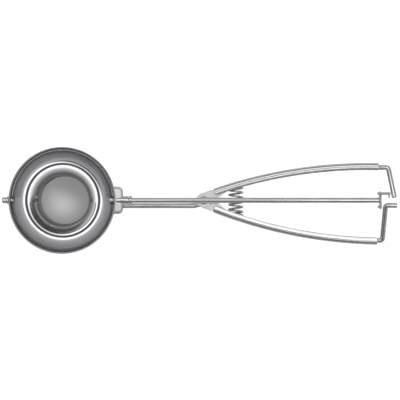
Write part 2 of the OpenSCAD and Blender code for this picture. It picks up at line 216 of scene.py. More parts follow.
def arc(centre, radius, start, stop, steps):
    """Points of an arc in a plane; angles in degrees."""
    points = []
    for k in range(steps + 1):
        turn = math.radians(start + (stop - start) * k / steps)
        points.append((centre[0] + radius * math.cos(turn), centre[1] + radius * math.sin(turn)))
    return points


def quarter(steps):
    """Angles from nought to a right angle in equal steps."""
    return [0.5 * math.pi * k / steps for k in range(steps + 1)]


def finish_mesh(name, bm, sharp=35):
    """A smooth object from a bmesh, creased where its faces meet at more than this angle."""
    bmesh.ops.remove_doubles(bm, verts=bm.verts, dist=SAME_PLACE)
    bmesh.ops.recalc_face_normals(bm, faces=bm.faces)
    mesh = bpy.data.meshes.new(name)
    bm.to_mesh(mesh)
    bm.free()
    mesh.shade_smooth()
    mesh.set_sharp_from_angle(angle=math.radians(sharp))
    piece = bpy.data.objects.new(name, mesh)
    bpy.context.scene.collection.objects.link(piece)
    return piece


def skin(bm, loops):
    """Joins rings of vertices of equal count with quads, and caps both ends."""
    rings = [[bm.verts.new(p) for p in loop] for loop in loops]
    count = len(rings[0])
    for first, second in zip(rings, rings[1:]):
        for k in range(count):
            after = (k + 1) % count
            bm.faces.new((first[k], first[after], second[after], second[k]))
    bm.faces.new(rings[0])
    bm.faces.new(list(reversed(rings[-1])))


def lathe(bm, profile, place, segments):
    """Turns (along, radius) points about the local X axis, put in place by a matrix."""
    loops = []
    for along, radius in profile:
        loop = []
        for k in range(segments):
            turn = 2 * math.pi * k / segments
            loop.append(place @ Vector((along, radius * math.cos(turn), radius * math.sin(turn))))
        loops.append(loop)
    skin(bm, loops)


def rounded_bar(x0, x1, radius, rounding):
    """Profile of a bar from x0 to x1 whose two ends are rounded; (along, radius)."""
    core = radius - rounding
    front = arc((x0 + rounding, core), rounding, 180, 90, 5)
    back = arc((x1 - rounding, core), rounding, 90, 0, 5)
    return [(x0, ON_AXIS)] + front + back + [(x1, ON_AXIS)]


def bent_path(corners, bend):
    """Points along straight runs whose corners are bent to a radius."""
    steps = 10
    path = [corners[0]]
    for before, corner, after in zip(corners, corners[1:], corners[2:]):
        come = (before - corner).normalized()
        leave = (after - corner).normalized()
        half = 0.5 * come.angle(leave)
        reach = bend / math.tan(half)
        centre = corner + (come + leave).normalized() * (bend / math.sin(half))
        start = corner + come * reach - centre
        stop = corner + leave * reach - centre
        axis = start.cross(stop).normalized()
        for k in range(steps + 1):
            path.append(centre + Matrix.Rotation(start.angle(stop) * k / steps, 3, axis) @ start)
    path.append(corners[-1])
    return path


def tube(bm, path, radii, sides):
    """A tube along a path, its frame carried on from ring to ring so that it doesn't twist."""
    tangents = []
    for k in range(len(path)):
        ahead = path[min(k + 1, len(path) - 1)]
        behind = path[max(k - 1, 0)]
        tangents.append((ahead - behind).normalized())
    turns = [2 * math.pi * k / sides for k in range(sides)]
    normal = tangents[0].orthogonal().normalized()
    loops = []
    for centre, tangent, radius in zip(path, tangents, radii):
        normal = (normal - tangent * normal.dot(tangent)).normalized()
        side = tangent.cross(normal)
        loops.append([centre + radius * (math.cos(turn) * normal + math.sin(turn) * side)
                      for turn in turns])
    skin(bm, loops)


def rod(bm, corners, radius, rounding, sides, bend=0.0):
    """A straight or bent rod with rounded cut ends."""
    path = bent_path(corners, bend)
    first = (path[1] - path[0]).normalized()
    last = (path[-1] - path[-2]).normalized()
    inward = [rounding * (1 - math.cos(turn)) for turn in quarter(5)]
    widths = [radius - rounding + rounding * math.sin(turn) for turn in quarter(5)]
    lead = [path[0] + first * step for step in inward]
    tail = [path[-1] - last * step for step in reversed(inward)]
    radii = widths + [radius] * (len(path) - 2) + widths[::-1]
    tube(bm, lead + path[1:-1] + tail, radii, sides)


def plate(bm, outline, thickness, place):
    """A flat plate: an outline in X and Y, raised along Z and put in place by a matrix."""
    loops = [[place @ Vector((x, y, z)) for x, y in outline] for z in (0.0, thickness)]
    skin(bm, loops)


def soften(piece, width):
    """Rolls the piece's sharp edges over, as tumbling does."""
    bevel = piece.modifiers.new("rolled_edges", "BEVEL")
    bevel.width = width
    bevel.segments = 2
    bevel.limit_method = "ANGLE"
    bevel.angle_limit = math.radians(40)
    bevel.harden_normals = True
    return piece


def fit(piece, material, body, slot, *nodes):
    """Gives a piece its finish and its body, and hides the nodes that it stands for; the slot is not used.
    """
    piece.data.materials.append(material)
    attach(piece, body)
    if nodes:
        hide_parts(*nodes)


def dress(node, material):
    """Gives a measured node that stays in view its finish."""
    slots = frame["nodes"][node].material_slots
    if not slots:
        raise RuntimeError(f"{node} has no material slot")
    for slot in slots:
        slot.material = material


def turned(name, node, body, rounding, segments=48, in_box=False):
    """A round piece as long and wide as its node, on the shaft's axis or in the middle of the node's box."""
    low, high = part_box(node)
    radius = 0.5 * (high.y - low.y)
    middle = 0.5 * (low + high)
    place = Matrix.Translation((0, middle.y, middle.z)) if in_box else Matrix.Identity(4)
    bm = bmesh.new()
    lathe(bm, rounded_bar(low.x, high.x, radius, rounding), place, segments)
    fit(finish_mesh(name, bm), finish("rod"), body, "rod_steel", node)


# ---- node helpers and shared effects ----

def add(tree, kind, label="", **values):
    """A node with its settings."""
    node = tree.nodes.new(kind)
    node.label = label
    for name, value in values.items():
        setattr(node, name, value)
    return node


def put(node, **values):
    """Sets input sockets by name, with spaces written as underscores."""
    for name, value in values.items():
        node.inputs[name.replace("_", " ")].default_value = value
    return node


def new_group(name, inputs, outputs):
    """An empty node group with float inputs and given outputs."""
    group = bpy.data.node_groups.new(name, "ShaderNodeTree")
    for title, default in inputs:
        socket = group.interface.new_socket(title, in_out="INPUT", socket_type="NodeSocketFloat")
        socket.default_value = default
    for title, kind in outputs:
        group.interface.new_socket(title, in_out="OUTPUT", socket_type=kind)
    start = add(group, "NodeGroupInput")
    end = add(group, "NodeGroupOutput")
    return group, start, end


def drawn_grain_group():
    """Fine scratches that run along the X axis, as polishing along a piece leaves them."""
    group, start, end = new_group(
        "drawn_grain",
        [("Scale", 900.0), ("Stretch", 0.03), ("Depth", 0.05)],
        [("Height", "NodeSocketFloat"), ("Roughness", "NodeSocketFloat")])
    place = add(group, "ShaderNodeTexCoord")
    stretch = add(group, "ShaderNodeCombineXYZ")
    put(stretch, Y=1.0, Z=1.0)
    mapping = add(group, "ShaderNodeVectorMath", operation="MULTIPLY")
    noise = put(add(group, "ShaderNodeTexNoise"), Detail=3.0, Roughness=0.6)
    height = add(group, "ShaderNodeMath", operation="MULTIPLY")
    link = group.links.new
    link(start.outputs["Stretch"], stretch.inputs["X"])
    link(place.outputs["Object"], mapping.inputs[0])
    link(stretch.outputs[0], mapping.inputs[1])
    link(mapping.outputs[0], noise.inputs["Vector"])
    link(start.outputs["Scale"], noise.inputs["Scale"])
    link(noise.outputs["Fac"], height.inputs[0])
    link(start.outputs["Depth"], height.inputs[1])
    link(height.outputs[0], end.inputs["Height"])
    link(noise.outputs["Fac"], end.inputs["Roughness"])
    return group


def threshold(group, label, operation, first, second, sharpness):
    """A mask that is 1 where the sum or difference of two values is above nought."""
    compared = add(group, "ShaderNodeMath", operation=operation)
    mask = add(group, "ShaderNodeMath", label, operation="MULTIPLY", use_clamp=True)
    mask.inputs[1].default_value = sharpness
    group.links.new(first, compared.inputs[0])
    group.links.new(second, compared.inputs[1])
    group.links.new(compared.outputs[0], mask.inputs[0])
    return mask.outputs[0]


def spun_grain_group():
    """Fine rings about the Z axis in a spun bowl, with masks for its satin centre and for its rim band,
    which is brushed rougher and painted darker as shade.
    """
    group, start, end = new_group(
        "spun_grain",
        [("Scale", 2500.0), ("Depth", 0.05), ("Satin Radius", 0.0142), ("Band", 0.006),
         ("Wall Radius", 0.0305), ("Lip", 0.0025)],
        [("Height", "NodeSocketFloat"), ("Roughness", "NodeSocketFloat"), ("Satin", "NodeSocketFloat"),
         ("Rim", "NodeSocketFloat")])
    place = add(group, "ShaderNodeTexCoord")
    split = add(group, "ShaderNodeSeparateXYZ")
    flat = add(group, "ShaderNodeCombineXYZ")
    radius = add(group, "ShaderNodeVectorMath", operation="LENGTH")
    rings = add(group, "ShaderNodeCombineXYZ")
    noise = put(add(group, "ShaderNodeTexNoise"), Detail=2.0, Roughness=0.6)
    height = add(group, "ShaderNodeMath", operation="MULTIPLY")
    band = add(group, "ShaderNodeMath", "band on the inside only", operation="MULTIPLY")
    # Mask of the rim band, which is brushed rougher and painted darker as shade.
    rim = add(group, "ShaderNodeMath", "inside band and rolled lip", operation="MAXIMUM")
    given = start.outputs
    across = radius.outputs["Value"]
    level = split.outputs["Z"]
    satin = threshold(group, "satin centre", "SUBTRACT", given["Satin Radius"], across, 4000.0)
    above = threshold(group, "above the band's edge", "ADD", level, given["Band"], 1500.0)
    inside = threshold(group, "inside the wall", "SUBTRACT", given["Wall Radius"], across, 8000.0)
    lip = threshold(group, "rolled lip", "SUBTRACT", level, given["Lip"], 8000.0)
    link = group.links.new
    link(place.outputs["Object"], split.inputs[0])
    link(split.outputs["X"], flat.inputs["X"])
    link(split.outputs["Y"], flat.inputs["Y"])
    link(flat.outputs[0], radius.inputs[0])
    link(across, rings.inputs["X"])
    link(level, rings.inputs["Y"])
    link(rings.outputs[0], noise.inputs["Vector"])
    link(given["Scale"], noise.inputs["Scale"])
    link(noise.outputs["Fac"], height.inputs[0])
    link(given["Depth"], height.inputs[1])
    link(above, band.inputs[0])
    link(inside, band.inputs[1])
    link(band.outputs[0], rim.inputs[0])
    link(lip, rim.inputs[1])
    link(height.outputs[0], end.inputs["Height"])
    link(noise.outputs["Fac"], end.inputs["Roughness"])
    link(satin, end.inputs["Satin"])
    link(rim.outputs[0], end.inputs["Rim"])
    return group


def handling_group():
    """Soft cloudy marks where fingers and cloths have dulled the polish."""
    group, start, end = new_group(
        "handling_marks",
        [("Scale", 60.0), ("Amount", 0.05), ("Roughness", 0.1)],
        [("Roughness", "NodeSocketFloat"), ("Mask", "NodeSocketFloat")])
    place = add(group, "ShaderNodeTexCoord")
    noise = put(add(group, "ShaderNodeTexNoise"), Detail=4.0, Roughness=0.55, Distortion=0.6)
    spread = add(group, "ShaderNodeMapRange")
    put(spread, From_Min=0.4, From_Max=0.7, To_Min=0.0, To_Max=1.0)
    dull = add(group, "ShaderNodeMath", operation="MULTIPLY_ADD")
    link = group.links.new
    link(place.outputs["Object"], noise.inputs["Vector"])
    link(start.outputs["Scale"], noise.inputs["Scale"])
    link(noise.outputs["Fac"], spread.inputs["Value"])
    link(spread.outputs[0], dull.inputs[0])
    link(start.outputs["Amount"], dull.inputs[1])
    link(start.outputs["Roughness"], dull.inputs[2])
    link(dull.outputs[0], end.inputs["Roughness"])
    link(spread.outputs[0], end.inputs["Mask"])
    return group


def use_group(tree, name, make):
    """A node that runs the group of this name, which is made the first time it is asked for."""
    return add(tree, "ShaderNodeGroup", node_tree=bpy.data.node_groups.get(name) or make())


def dimmed(colour, share=1.0):
    """A colour with its brightness multiplied, and the fourth value that a socket asks for."""
    return (*[share * part for part in colour], 1.0)


def metal(name, colour, edge):
    """A metal material of one colour, with its node tree and its surface node."""
    material = bpy.data.materials.new(name)
    material.use_nodes = True
    material.diffuse_color = dimmed(colour)
    surface = material.node_tree.nodes["Principled BSDF"]
    put(surface, Metallic=1.0, Specular_Tint=dimmed(edge))
    return material, material.node_tree, surface


def steel(name, colour, roughness, scale, stretch, depth, marks):
    """Stainless steel with lengthwise grain and handling marks."""
    edge = (0.55, 0.55, 0.56)
    grain_rougher = 0.5 * roughness
    mark_shade = 0.9
    material, tree, surface = metal(name, colour, edge)
    lines = use_group(tree, "drawn_grain", drawn_grain_group)
    put(lines, Scale=scale, Stretch=stretch, Depth=depth)
    rub = use_group(tree, "handling_marks", handling_group)
    put(rub, Scale=70.0, Amount=marks, Roughness=roughness)
    rough = add(tree, "ShaderNodeMath", "rougher with the grain", operation="MULTIPLY_ADD")
    rough.inputs[1].default_value = grain_rougher
    bump = put(add(tree, "ShaderNodeBump"), Strength=0.25, Distance=0.05 * MM)
    shade = put(add(tree, "ShaderNodeMix", data_type="RGBA"), A=dimmed(colour), B=dimmed(colour, mark_shade))
    link = tree.links.new
    link(lines.outputs["Roughness"], rough.inputs[0])
    link(rub.outputs["Roughness"], rough.inputs[2])
    link(rough.outputs[0], surface.inputs["Roughness"])
    link(lines.outputs["Height"], bump.inputs["Height"])
    link(bump.outputs[0], surface.inputs["Normal"])
    link(rub.outputs["Mask"], shade.inputs["Factor"])
    link(shade.outputs["Result"], surface.inputs["Base Color"])
    return material


def bowl_steel(look):
    """Steel spun to a bowl: fine rings, a polished wall, a satin centre, and a rim band brushed rougher
    whose colour is darkened as painted shade.
    """
    sizes = bpy.context.scene.scoop_bowl
    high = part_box("bowl")[1]
    edge = (0.6, 0.6, 0.61)
    satin_rougher = 0.48
    rim_rougher = 0.26
    # Share of the colour kept on the rim band: painted shade, making the band darker than the steel is.
    painted_rim_shade = 0.56
    ring_shade = 0.96
    material, tree, surface = metal("spun_bowl_steel", look.polished, edge)
    rings = use_group(tree, "spun_grain", spun_grain_group)
    put(rings, Scale=2200.0, Depth=0.04, Satin_Radius=sizes.satin_radius, Band=sizes.band)
    put(rings, Wall_Radius=high.x - 0.5 * sizes.wall, Lip=high.z - sizes.rim_round)
    rub = use_group(tree, "handling_marks", handling_group)
    put(rub, Scale=45.0, Amount=0.4 * look.rub, Roughness=0.04)
    rough = add(tree, "ShaderNodeMath", "satin centre", operation="MULTIPLY_ADD")
    rough.inputs[1].default_value = satin_rougher
    ground = add(tree, "ShaderNodeMath", "brushed rim", operation="MULTIPLY_ADD")
    ground.inputs[1].default_value = rim_rougher
    bump = put(add(tree, "ShaderNodeBump"), Strength=0.2, Distance=0.03 * MM)
    shade = put(add(tree, "ShaderNodeMix", data_type="RGBA"),
                A=dimmed(look.polished), B=dimmed(look.polished, ring_shade))
    # Mixes the darker colour into the rim band: painted shade.
    rim = put(add(tree, "ShaderNodeMix", data_type="RGBA"), B=dimmed(look.polished, painted_rim_shade))
    link = tree.links.new
    link(rings.outputs["Satin"], rough.inputs[0])
    link(rub.outputs["Roughness"], rough.inputs[2])
    link(rings.outputs["Rim"], ground.inputs[0])
    link(rough.outputs[0], ground.inputs[2])
    link(ground.outputs[0], surface.inputs["Roughness"])
    link(rings.outputs["Height"], bump.inputs["Height"])
    link(bump.outputs[0], surface.inputs["Normal"])
    link(rings.outputs["Roughness"], shade.inputs["Factor"])
    link(rings.outputs["Rim"], rim.inputs["Factor"])
    link(shade.outputs["Result"], rim.inputs["A"])
    link(rim.outputs["Result"], surface.inputs["Base Color"])
    return material


# Material, colour and roughness of each drawn or tumbled steel, then its grain's scale, stretch and depth
STEELS = {
    "blade": ("blade_strip_steel", "satin", 0.16, 700.0, 0.15, 0.5),
    "rod": ("drawn_rod_steel", "polished", 0.10, 1400.0, 0.02, 0.4),
    "grip": ("bent_sheet_steel", "polished", 0.13, 800.0, 0.04, 0.4),
    "neck": ("tumbled_plate_steel", "brushed", 0.34, 1000.0, 0.2, 0.6),
    "rivet": ("turned_steel", "dull", 0.24, 1500.0, 1.0, 0.6),
    "wire": ("spring_wire_steel", "wire", 0.2, 1500.0, 0.3, 0.5),
}
FINISHES = {}


def finish(name):
    """The finish of this name, made from the panel's values the first time it is asked for."""
    if name not in FINISHES:
        look = bpy.context.scene.scoop_steel
        if name == "bowl":
            FINISHES[name] = bowl_steel(look)
        else:
            title, colour, *grain = STEELS[name]
            FINISHES[name] = steel(title, getattr(look, colour), *grain, look.rub)
    return FINISHES[name]


# ---- bowl and blade ----

def bowl_profile(outer, wall, rim_height, rounding):
    """Section of the bowl from its centre outside, over the rim and back inside; (radius, height)."""
    inner = outer - wall
    outside = arc((0, 0), outer, -90, 0, 48)
    over = arc((outer - rounding, rim_height - rounding), rounding, 0, 90, 5)
    back = arc((inner + rounding, rim_height - rounding), rounding, 90, 180, 5)
    inside = arc((0, 0), inner, 0, -90, 48)
    return outside + over + back + inside


class SCOOP_OT_bowl(bpy.types.Operator):
    """Spun bowl with a rolled rim."""
    bl_idname = "scoop.bowl"
    bl_label = "Bowl"

    def execute(self, context):
        sizes = context.scene.scoop_bowl
        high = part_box("bowl")[1]
        section = bowl_profile(high.x, sizes.wall, high.z, sizes.rim_round)
        profile = [(z, max(r, ON_AXIS)) for r, z in section]
        upright = Matrix.Rotation(math.radians(-90), 4, "Y")
        bm = bmesh.new()
        lathe(bm, profile, upright, sizes.segments)
        piece = finish_mesh("spun_bowl", bm, sharp=50)
        fit(piece, finish("bowl"), "frame", "bowl_steel", "bowl")
        return {"FINISHED"}


class SCOOP_OT_blade(bpy.types.Operator):
    """Scraper blade: a band of a sphere with an eye at each end."""
    bl_idname = "scoop.blade"
    bl_label = "Blade"

    def execute(self, context):
        sizes = context.scene.scoop_blade
        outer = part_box("bowl")[1].x - context.scene.scoop_bowl.wall - sizes.gap
        inner = outer - sizes.thickness
        sweep = 96
        bm = bmesh.new()
        skin(bm, [self.across(k / sweep, outer, inner, sizes) for k in range(sweep + 1)])
        for side in (-1, 1):
            self.eye(bm, side, outer, inner, sizes)
        piece = finish_mesh("scraper_blade", bm, sharp=40)
        fit(soften(piece, 0.12 * MM), finish("blade"), "blade_shaft", "blade_steel", "blade")
        return {"FINISHED"}

    def across(self, share, outer, inner, sizes):
        """Ring across the band at a share of its way round: down its outside, then up its inside."""
        rows = 12
        loop = []
        for radius, steps in ((outer, range(rows + 1)), (inner, range(rows, -1, -1))):
            for k in steps:
                z = -sizes.top - (sizes.low - sizes.top) * k / rows
                flat = math.sqrt(radius * radius - z * z)
                first = math.asin(min(1.0, sizes.end / flat))
                turn = first + (math.pi - 2 * first) * share
                loop.append(Vector((flat * math.cos(turn), flat * math.sin(turn), z)))
        return loop

    def eye(self, bm, side, outer, inner, sizes):
        """Dished disc on the axis, joined to the band by a short tab."""
        tab_low = 0.5 * sizes.low
        tab_end = sizes.end + 0.5 * MM
        corner = sizes.eye - 0.2 * MM
        shape = arc((0, 0), sizes.eye, -30, 180, 28)
        shape += arc((corner - sizes.eye, corner - tab_low), corner, 180, 270, 8)
        shape += [(tab_end, -tab_low), (tab_end, -sizes.top)]
        loops = []
        for radius in (outer, inner):
            reach = [side * math.sqrt(radius * radius - y * y - z * z) for y, z in shape]
            loops.append([Vector((x, y, z)) for x, (y, z) in zip(reach, shape)])
        skin(bm, loops)


# ---- neck ----

class SCOOP_OT_neck(bpy.types.Operator):
    """Saddle, bush, stay rod and the front pin with its washer."""
    bl_idname = "scoop.neck"
    bl_label = "Neck"

    def execute(self, context):
        sizes = context.scene.scoop_neck
        self.saddle(sizes)
        turned("neck_bush", "bush", "frame", rounding=0.25 * MM, in_box=True)
        self.front_pin(sizes)
        turned("pin_washer", "front_washer", "frame", rounding=0.3 * MM)
        self.stay(sizes)
        return {"FINISHED"}

    def saddle(self, sizes):
        """Block that hugs the bowl, its corners rounded."""
        low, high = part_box("saddle")
        bowl_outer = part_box("bowl")[1].x
        half_y = 0.5 * (high.y - low.y)
        half_z = 0.5 * (high.z - low.z)
        middle_z = 0.5 * (high.z + low.z)
        corner = sizes.saddle_corner
        section = []
        for side_y, side_z, start in ((1, 1, 0), (-1, 1, 90), (-1, -1, 180), (1, -1, 270)):
            centre = (side_y * (half_y - corner), side_z * (half_z - corner))
            section += arc(centre, corner, start, start + 90, 8)
        into_wall = 0.2 * MM
        front = []
        for y, z in section:
            height = middle_z + z
            level = min(height, 0.0)
            along = math.sqrt(bowl_outer ** 2 - y * y - level ** 2) - into_wall
            front.append(Vector((along, y, height)))
        loops = [front]
        for turn in quarter(5):
            fall = 1 - math.cos(turn)
            narrow = 1 - sizes.saddle_end * fall / half_y
            shrink = 1 - sizes.saddle_edge * fall / half_z
            along = high.x - sizes.saddle_end + sizes.saddle_end * math.sin(turn)
            loops.append([Vector((along, y * narrow, middle_z + z * shrink)) for y, z in section])
        bm = bmesh.new()
        skin(bm, loops)
        fit(finish_mesh("neck_saddle", bm, sharp=45), finish("neck"), "frame", "neck_steel", "saddle")

    def front_pin(self, sizes):
        """Domed pin through the bowl's front."""
        low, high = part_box("front_pin")
        head = 0.5 * (high.y - low.y)
        head_end = low.x + sizes.pin_head
        pin, dome = sizes.pin, sizes.pin_dome
        tip = 0.3 * MM
        profile = [(low.x, ON_AXIS)] + arc((low.x + dome, head - dome), dome, 180, 90, 8)
        profile += [(head_end, head), (head_end, pin), (high.x - tip, pin), (high.x, pin - tip)]
        profile += [(high.x, ON_AXIS)]
        bm = bmesh.new()
        lathe(bm, profile, Matrix.Identity(4), segments=48)
        fit(finish_mesh("front_pivot_pin", bm), finish("rod"), "frame", "rod_steel", "front_pin")

    def stay(self, sizes):
        """Fixed rod under the shaft, flattened into an eye at the rivet."""
        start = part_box("stay_rod")[0].x
        y, z = -sizes.stay_side, -sizes.stay_low
        flat_from = RIVET_AT.x - 5.2 * MM
        flat_half = 1.3 * MM
        rod_end = flat_from + 0.6 * sizes.stay
        bm = bmesh.new()
        ends = [Vector((start, y, z)), Vector((rod_end, y, z))]
        rod(bm, ends, sizes.stay, rounding=1.2 * MM, sides=32)
        shape = arc((RIVET_AT.x, 0), sizes.eye, -105, 150, 30)
        shape += [(flat_from, y + flat_half), (flat_from, y - flat_half)]
        plate(bm, shape, sizes.eye_sheet, Matrix.Translation((0, 0, -sizes.eye_low)))
        piece = soften(finish_mesh("stay", bm), 0.1 * MM)
        fit(piece, finish("rod"), "frame", "rod_steel", "stay_rod")


# ---- shaft ----

class SCOOP_OT_shaft(bpy.types.Operator):
    """Drive shaft with the blade's hub and the collar, and the finish of the crank."""
    bl_idname = "scoop.shaft"
    bl_label = "Shaft and crank"

    def execute(self, context):
        turned("drive_shaft", "shaft", "blade_shaft", rounding=0.3 * MM)
        turned("hub", "blade_hub", "blade_shaft", rounding=0.25 * MM, segments=40)
        turned("collar", "shaft_collar", "blade_shaft", rounding=0.3 * MM)
        dress("crank", finish("neck"))
        return {"FINISHED"}


# ---- rivet ----

class SCOOP_OT_rivet(bpy.types.Operator):
    """Rivet with its two heads, the sleeve and the washer."""
    bl_idname = "scoop.rivet"
    bl_label = "Rivet"

    def execute(self, context):
        sizes = context.scene.scoop_rivet
        place = Matrix.Translation(RIVET_AT) @ Matrix.Rotation(math.radians(-90), 4, "Y")
        self.rivet(sizes, place)
        for name, node in (("sleeve", "rivet_sleeve"), ("washer", "rivet_washer")):
            low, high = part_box(node)
            radius = 0.5 * (high.x - low.x)
            wall = rounded_bar(low.z, high.z, radius, 0.15 * MM)[1:-1]
            bore = [(high.z, sizes.bore), (low.z, sizes.bore)]
            bm = bmesh.new()
            lathe(bm, wall + bore + wall[:1], place, segments=40)
            fit(finish_mesh(name, bm), finish("rivet"), "frame", "rivet_steel", node)
        return {"FINISHED"}

    def rivet(self, sizes, place):
        """Shank between a domed upper head and a lower head whose edge is rounded."""
        low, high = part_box("rivet")
        head = 0.5 * (high.x - low.x)
        under = high.z - sizes.crown
        foot = low.z + sizes.foot
        dome_share = 0.28
        profile = [(low.z, ON_AXIS)]
        for height, share in ((0.0, 0.8), (0.25 * MM, 0.93), (0.6 * MM, 1.0)):
            profile.append((low.z + height, share * head))
        profile += [(foot, head), (foot, sizes.shank), (under, sizes.shank)]
        for turn in quarter(6):
            narrow = 1 - dome_share * (1 - math.cos(turn))
            profile.append((under + sizes.crown * math.sin(turn), head * narrow))
        profile.append((high.z, ON_AXIS))
        bm = bmesh.new()
        lathe(bm, profile, place, segments=48)
        fit(finish_mesh("grip_rivet", bm), finish("rivet"), "frame", "rivet_steel", "rivet")


# ---- grips ----

def grip_place(side, sizes):
    """Matrix from a grip's own sketch, drawn from the rivet, to the object."""
    place = Matrix.Translation(RIVET_AT) @ Matrix.Rotation(sizes.lean, 4, "Z")
    if side < 0:
        place = place @ Matrix.Diagonal((1, -1, 1, 1))
    return place


def channel_section(sizes):
    """Closed section of the bent sheet: outside, one lip, inside, the other lip; (out, up)."""
    half = 0.5 * sizes.height
    web = 0.5 * sizes.depth
    edge = sizes.edge
    reach = 2 * web - edge

    def flange(level):
        """Points along a flange, which falls away towards its lip."""
        return [(web - edge - reach * t, level - sizes.crown * t * t) for t in (0.2, 0.4, 0.6, 0.8)]

    bend = (web - edge, half - edge)
    lip_round = 0.5 * sizes.sheet
    lip_at = (lip_round - web, half - sizes.crown - lip_round)
    outside = arc(bend, edge, 0, 90, 8) + flange(half)
    lip = arc(lip_at, lip_round, 75, 255, 7)
    inside = flange(half - sizes.sheet)[::-1] + arc(bend, edge - sizes.sheet, 90, 0, 6)
    upper = outside + lip + inside
    return upper + [(r, -z) for r, z in reversed(upper)]


def channel(bm, sizes, place):
    """The bowed channel, swept round its long curve."""
    steps = 90
    middle = Vector((sizes.apex_x, sizes.apex_y - sizes.arc_radius, 0))
    front = math.asin((sizes.apex_x - sizes.front_x) / sizes.arc_radius)
    rear = -math.asin((sizes.rear_x - sizes.apex_x) / sizes.arc_radius)
    section = channel_section(sizes)
    loops = []
    for k in range(steps + 1):
        turn = math.pi / 2 + rear + (front - rear) * k / steps
        out = Vector((math.cos(turn), math.sin(turn), 0))
        loops.append([place @ (middle + out * (sizes.arc_radius + r) + Vector((0, 0, z - sizes.low)))
                      for r, z in section])
    skin(bm, loops)


def ear(bm, z, nose, sizes, place):
    """Flat ear from the rivet into the channel, with a round end and a soft waist."""
    weld = 0.2 * MM
    web_in = sizes.arc_radius + 0.5 * sizes.depth - sizes.sheet + weld
    middle_y = sizes.apex_y - sizes.arc_radius

    def web_y(x):
        """Distance of the channel's back from the grip's straight line, at a place along it."""
        return middle_y + math.sqrt(web_in ** 2 - (x - sizes.apex_x) ** 2)

    back = sizes.front_x + sizes.ear_reach
    front = sizes.front_x - 0.6 * MM
    waist = (sizes.front_x - 2.2 * MM, web_y(sizes.front_x) - 0.25 * MM)
    shape = arc((0, 0), sizes.ear, 120, 318, 30)
    if nose > sizes.ear:
        tip_at = (1.4 * MM - nose, 0.2 * sizes.ear)
        shape = arc(tip_at, 1.3 * MM, 100, 200, 6) + arc((0, 0), sizes.ear, 205, 318, 20)
    shape.append((back, web_y(back) - sizes.depth + sizes.sheet))
    shape.append((back, web_y(back)))
    steps = 6
    for k in range(steps + 1):
        x = back + (front - back) * k / steps
        shape.append((x, web_y(x)))
    shape.append(waist)
    plate(bm, shape, sizes.sheet, place @ Matrix.Translation((0, 0, z)))


class SCOOP_OT_grips(bpy.types.Operator):
    """Two bowed sheet channels with their ears, and the finish of their plugs and spring seats."""
    bl_idname = "scoop.grips"
    bl_label = "Grips"

    def execute(self, context):
        sizes = context.scene.scoop_grips
        low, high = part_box("shaft")
        upper = -0.5 * (high.y - low.y) - sizes.clear - sizes.sheet
        lower = upper - sizes.play - sizes.sheet
        for side, name, first, nose in ((1, "upper", upper, 0.0), (-1, "lower", lower, sizes.nose)):
            place = grip_place(side, sizes)
            mirrored = -2 * sizes.low - first - sizes.sheet
            bm = bmesh.new()
            channel(bm, sizes, place)
            piece = finish_mesh(f"{name}_grip_channel", bm, sharp=30)
            fit(piece, finish("grip"), f"{name}_grip", "grip_steel", f"grip_{name}")
            bm = bmesh.new()
            ear(bm, first, nose, sizes, place)
            ear(bm, mirrored, nose, sizes, place)
            piece = finish_mesh(f"{name}_grip_ears", bm, sharp=30)
            fit(soften(piece, 0.12 * MM), finish("neck"), f"{name}_grip", "grip_steel")
            dress(f"plug_{name}", finish("neck"))
            dress(f"seat_{name}", finish("rivet"))
        return {"FINISHED"}


# ---- links ----

class SCOOP_OT_links(bpy.types.Operator):
    """Bent rods from the grips' rear ends to the crank."""
    bl_idname = "scoop.links"
    bl_label = "Links"

    def execute(self, context):
        sizes = context.scene.scoop_rods
        y = sizes.crank_radius * math.cos(sizes.crank_angle)
        z = sizes.crank_radius * math.sin(sizes.crank_angle)
        corner = self.on_bearing("upper", sizes.up_corner)
        end = Vector((sizes.up_plane, y, -z))
        overhang = sizes.link - 0.1 * MM
        self.link("upper", [corner, end + (end - corner).normalized() * overhang], sizes)
        corner = self.on_bearing("lower", sizes.low_corner)
        tip = Vector((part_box("link_lower")[1].x, -y, z))
        self.link("lower", [corner, Vector((sizes.low_plane, -y, z)), tip], sizes)
        return {"FINISHED"}

    def on_bearing(self, name, x):
        """Point at this place along the shaft, in line with the link's bearing in the grip."""
        at = PIVOTS[f"{name}_link_tilt"]
        return Vector((x, at.y, at.z))

    def link(self, name, bends, sizes):
        """Thin journal in the grip, then the full rod, round its bends."""
        start = self.on_bearing(name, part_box(f"link_{name}")[0].x)
        shoulder = self.on_bearing(name, PIVOTS[f"{name}_link_tilt"].x + 0.3 * MM)
        inside_rod = Vector((0.6 * MM, 0, 0))
        bm = bmesh.new()
        rod(bm, [start, shoulder + inside_rod], sizes.journal, rounding=0.2 * MM, sides=24)
        rod(bm, [shoulder] + bends, sizes.link, sizes.end_round, sides=32, bend=sizes.bend)
        fit(finish_mesh(f"{name}_link_rod", bm), finish("rod"), f"{name}_link", "rod_steel", f"link_{name}")
        dress(f"retainer_{name}", finish("rivet"))


# ---- spring ----

